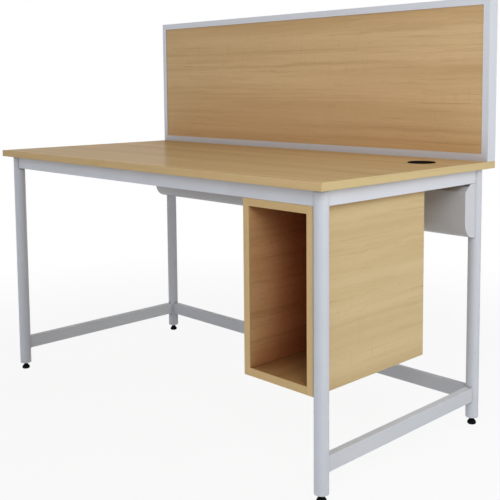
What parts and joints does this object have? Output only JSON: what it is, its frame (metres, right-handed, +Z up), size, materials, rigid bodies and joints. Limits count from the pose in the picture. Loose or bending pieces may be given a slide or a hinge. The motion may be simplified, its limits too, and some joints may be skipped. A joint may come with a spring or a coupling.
{
  "type": "library catalog station",
  "caption": "Standing-height bench with round tubular steel legs, a wood-faced worktop and rear screen, a hung computer box, a rear cable tray, a cable port and screw-adjusted feet.",
  "frame": {"origin": "on the floor, under the middle of the worktop", "axes": "+X to the right along the worktop for a person who faces the screen, -Y to the front, +Z up"},
  "size_m": [1.8, 0.9, 1.5],
  "materials": {
    "worktop_board": "pale beech melamine, satin, fine grain along the length",
    "edge_band": "pale beech edge band, satin",
    "screen_board": "pale beech melamine, satin, grain along the length",
    "box_board": "pale beech melamine, satin, grain from front to back",
    "frame_paint": "silver grey powder coat, fine texture",
    "tray_paint": "silver grey powder coat, fine texture",
    "screen_aluminium": "silver grey extrusion, satin",
    "black_plastic": "black moulded plastic, fine texture",
    "zinc_steel": "bright zinc plating",
    "softwood": "unfinished wood"
  },
  "bodies": {
    "station": {"worktop": "worktop_board", "worktop_band_front": "edge_band", "worktop_band_rear": "edge_band", "worktop_band_left": "edge_band", "worktop_band_right": "edge_band", "worktop_screws": "zinc_steel", "cable_port_liner": "black_plastic", "leg_front_left": "frame_paint", "leg_front_right": "frame_paint", "leg_rear_left": "frame_paint", "leg_rear_right": "frame_paint", "leg_caps": "frame_paint", "foot_inserts": "zinc_steel", "rail_front": "frame_paint", "rail_rear": "frame_paint", "rail_left": "frame_paint", "rail_right": "frame_paint", "stretcher_left": "frame_paint", "stretcher_right": "frame_paint", "stretcher_rear": "frame_paint", "screen_post_left": "screen_aluminium", "screen_post_right": "screen_aluminium", "screen_rail_top": "screen_aluminium", "screen_rail_bottom": "screen_aluminium", "screen_post_caps": "screen_aluminium", "screen_board_front": "screen_board", "screen_board_back": "screen_board", "screen_battens": "softwood", "screen_corner_keys": "zinc_steel", "screen_nut_plates": "zinc_steel", "screen_screws": "zinc_steel", "box_side_left": "box_board", "box_side_right": "box_board", "box_top": "box_board", "box_bottom": "box_board", "box_back": "box_board", "box_band_left": "edge_band", "box_band_right": "edge_band", "box_band_top": "edge_band", "box_band_bottom": "edge_band", "box_dowels": "softwood", "box_hanger_left": "zinc_steel", "box_hanger_right": "zinc_steel", "hanger_screws_worktop": "zinc_steel", "hanger_screws_box": "zinc_steel", "cable_tray": "tray_paint", "cable_tray_end_left": "tray_paint", "cable_tray_end_right": "tray_paint", "cable_tray_screws": "zinc_steel"},
    "foot_front_left": {"foot_pad_front_left": "black_plastic", "foot_stem_front_left": "zinc_steel"},
    "foot_front_right": {"foot_pad_front_right": "black_plastic", "foot_stem_front_right": "zinc_steel"},
    "foot_rear_left": {"foot_pad_rear_left": "black_plastic", "foot_stem_rear_left": "zinc_steel"},
    "foot_rear_right": {"foot_pad_rear_right": "black_plastic", "foot_stem_rear_right": "zinc_steel"},
    "port_cap": {"cable_port_cap": "black_plastic"}
  },
  "joints": [
    {"name": "foot_front_left_screw", "type": "slide", "parent": "station", "child": "foot_front_left", "axis": [0, 0, -1], "range_m": [0, 0.02]},
    {"name": "foot_front_right_screw", "type": "slide", "parent": "station", "child": "foot_front_right", "axis": [0, 0, -1], "range_m": [0, 0.02]},
    {"name": "foot_rear_left_screw", "type": "slide", "parent": "station", "child": "foot_rear_left", "axis": [0, 0, -1], "range_m": [0, 0.02]},
    {"name": "foot_rear_right_screw", "type": "slide", "parent": "station", "child": "foot_rear_right", "axis": [0, 0, -1], "range_m": [0, 0.02]},
    {"name": "port_cap_lift", "type": "slide", "parent": "station", "child": "port_cap", "axis": [0, 0, 1], "range_m": [0, 0.03]}
  ]
}
